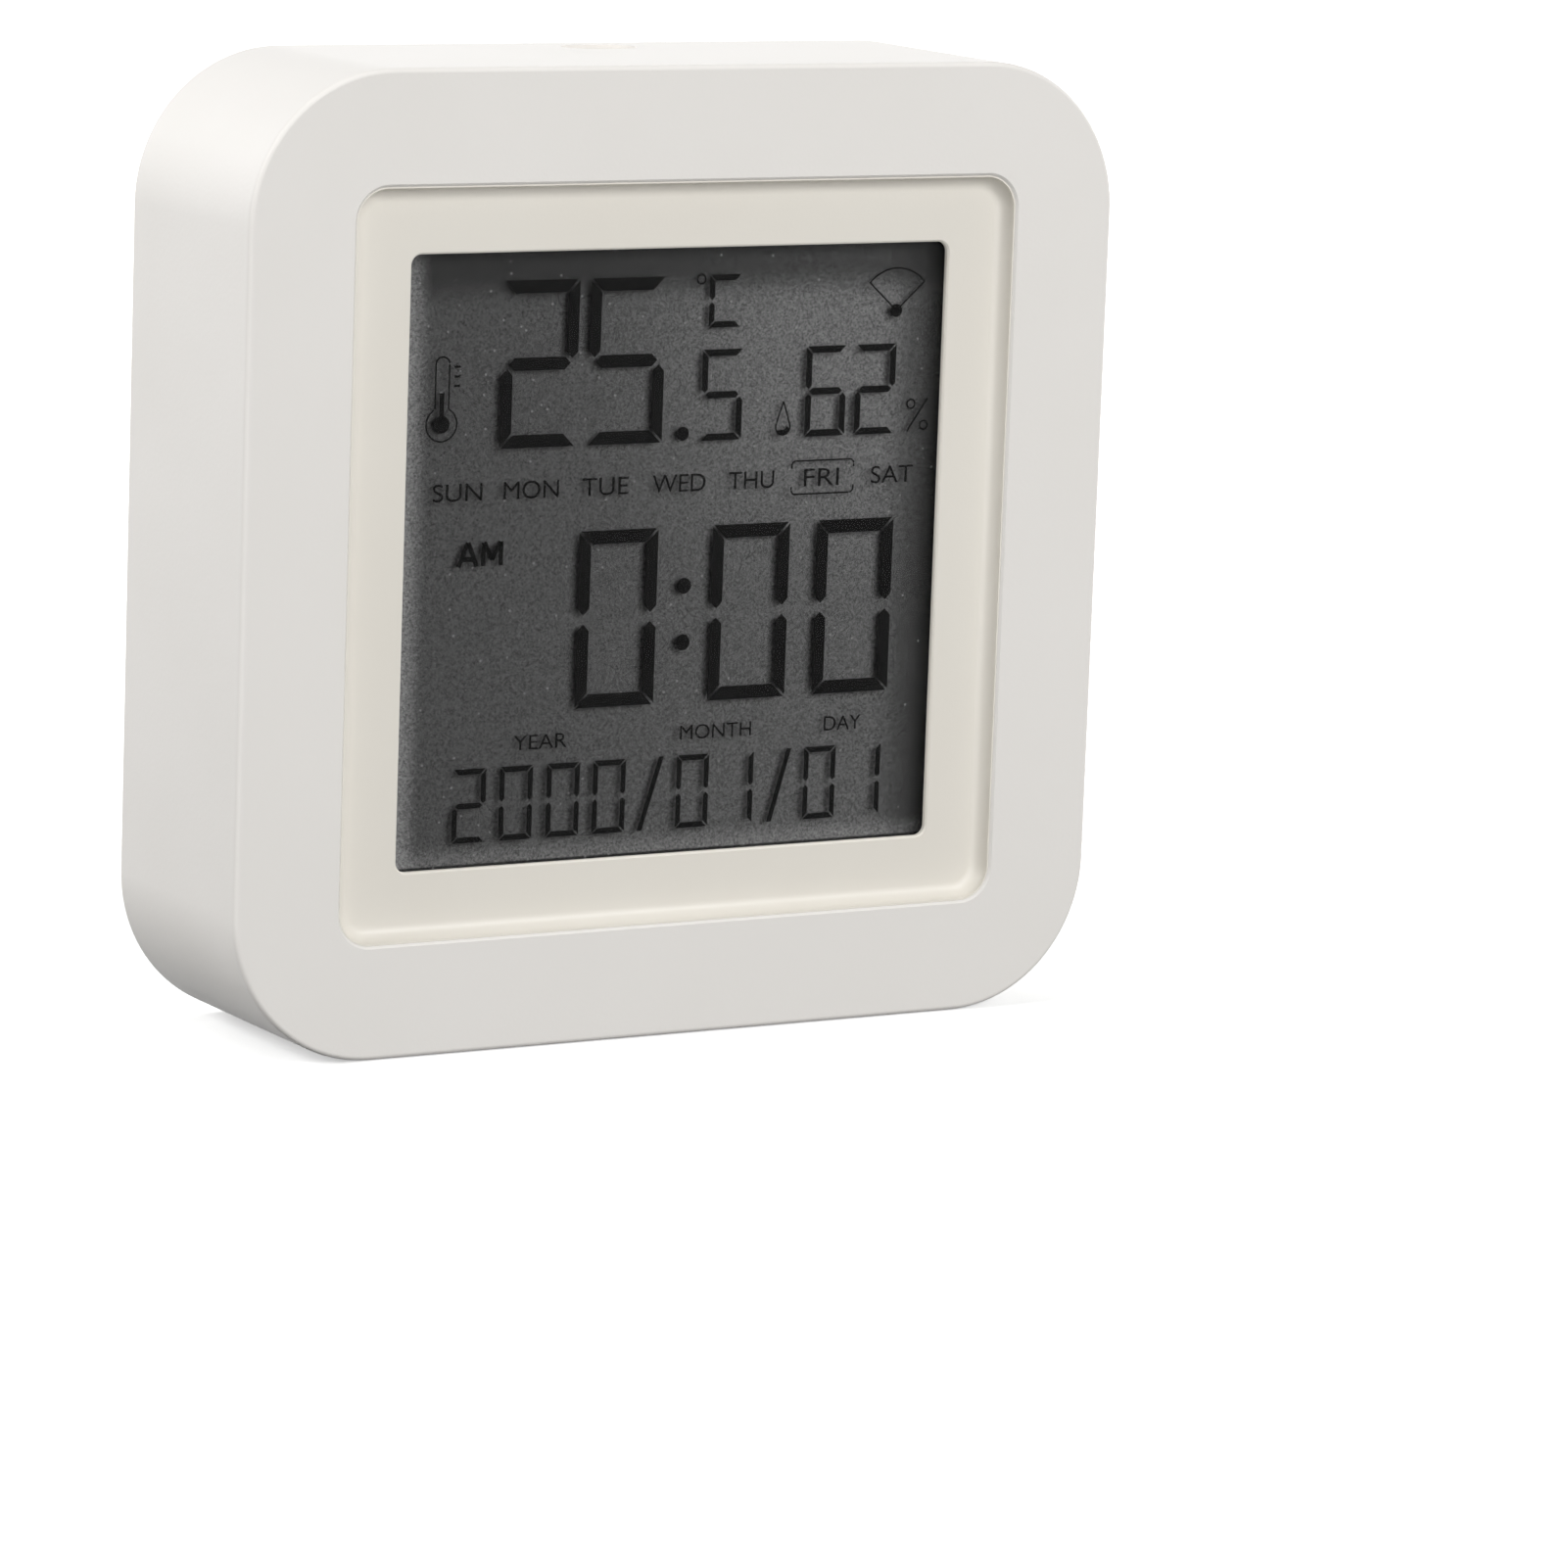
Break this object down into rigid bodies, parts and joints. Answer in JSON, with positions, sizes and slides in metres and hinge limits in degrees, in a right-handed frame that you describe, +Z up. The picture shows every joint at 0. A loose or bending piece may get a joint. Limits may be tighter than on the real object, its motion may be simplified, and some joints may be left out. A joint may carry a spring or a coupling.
{
  "type": "digital thermo-hygrometer",
  "caption": "Rounded square desk thermo-hygrometer with a recessed liquid crystal display, a light button on top and a flat base.",
  "frame": {"origin": "middle of the footprint, on the plane that the casing stands on", "axes": "+Z up, the display faces -Y, +X to the right of someone who reads the display"},
  "size_m": [0.08, 0.0216, 0.08],
  "materials": {
    "casing": "warm white moulded plastic with a fine matte texture",
    "bezel": "cream moulded plastic with a soft satin sheen",
    "display_glass": "clear glass with an anti-glare film",
    "display_cell": "dark grey display cell",
    "reflector": "silver grey reflector film",
    "light_guide": "frosted clear acrylic",
    "lamp": "white lamp with a yellow lens",
    "carrier": "white moulded plastic",
    "contact_strip": "pink silicone with a striped conductive core",
    "board": "green solder mask",
    "radio_board": "dark blue solder mask",
    "tinned_sheet": "tinned sheet steel",
    "chip": "black moulded package",
    "sensor": "pale sensor package with a dark window",
    "switch": "black moulded plastic",
    "plunger": "brick red moulded plastic",
    "button": "warm white, as the casing",
    "set_button": "light warm grey",
    "foam": "white foam tape",
    "cell": "silver laminated pouch",
    "connector": "natural nylon",
    "lead_red": "red insulation",
    "lead_black": "black insulation",
    "screw": "zinc-plated steel"
  },
  "bodies": {
    "casing": {"front_casing": "casing", "display_bezel": "bezel", "lcd_front_glass": "display_glass", "lcd_rear_glass": "display_cell", "reflector_film": "reflector", "light_guide": "light_guide", "backlight_lamp": "lamp", "lcd_carrier": "carrier", "contact_strip": "contact_strip", "main_board": "board", "radio_board": "radio_board", "shield_can": "tinned_sheet", "control_chip": "chip", "humidity_sensor": "sensor", "usb_shell": "tinned_sheet", "usb_tongue": "chip", "top_switch_body": "switch", "set_switch_body": "switch", "cell_pad": "foam", "battery_cell": "cell", "battery_socket": "connector", "battery_plug": "connector", "battery_lead_positive": "lead_red", "battery_lead_negative": "lead_black", "rear_cover": "casing", "cover_screw_1": "screw", "board_screw_1": "screw", "cover_screw_2": "screw", "board_screw_2": "screw", "cover_screw_3": "screw", "board_screw_3": "screw", "cover_screw_4": "screw", "board_screw_4": "screw"},
    "light_button": {"top_button": "button", "top_switch_plunger": "plunger"},
    "set_button": {"set_button": "set_button", "set_switch_plunger": "plunger"}
  },
  "joints": [
    {"name": "light_button_press", "type": "slide", "parent": "casing", "child": "light_button", "axis": [0, 0, -1], "range_m": [0, 0.0004], "stiffness_N_per_m": 800, "springref_m": -0.001},
    {"name": "set_button_press", "type": "slide", "parent": "casing", "child": "set_button", "axis": [0, -1, 0], "range_m": [0, 0.0004], "stiffness_N_per_m": 800, "springref_m": -0.001}
  ]
}
